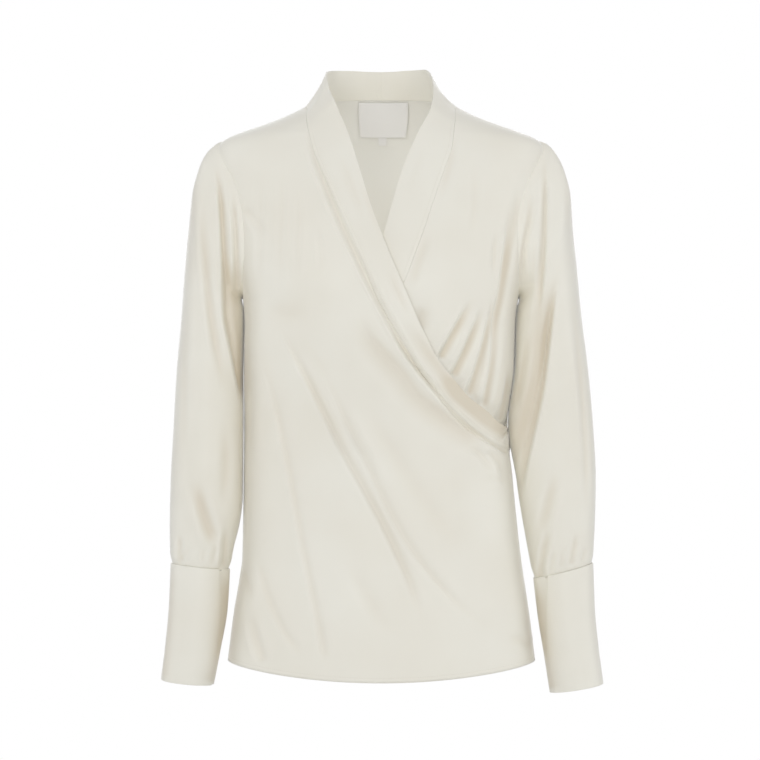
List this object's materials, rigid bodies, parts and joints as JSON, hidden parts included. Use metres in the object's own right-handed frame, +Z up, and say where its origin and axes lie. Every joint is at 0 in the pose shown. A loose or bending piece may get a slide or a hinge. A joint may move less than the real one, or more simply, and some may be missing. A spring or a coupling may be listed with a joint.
{
  "type": "wrap blouse",
  "caption": "Long-sleeved wrap blouse in cream satin with a standing band collar, a deep crossed V neck, deep plain cuffs and a curved hem, hollow and filled out as worn.",
  "frame": {"origin": "middle of the neck at the height where the shoulder seams meet the band", "axes": "+Z up along the body, +X towards the wearer's left, -Y towards the wearer's front"},
  "size_m": [0.5052, 0.2646, 0.7179],
  "materials": {
    "satin": "soft satin",
    "ribbon": "matte woven ribbon"
  },
  "bodies": {
    "root": {"front_right": "satin", "front_left": "satin", "back": "satin", "collar_right": "satin", "collar_left": "satin", "sleeve_right": "satin", "sleeve_left": "satin", "cuff_right": "satin", "cuff_left": "satin", "neck_label": "ribbon", "size_tab": "ribbon"}
  },
  "joints": []
}
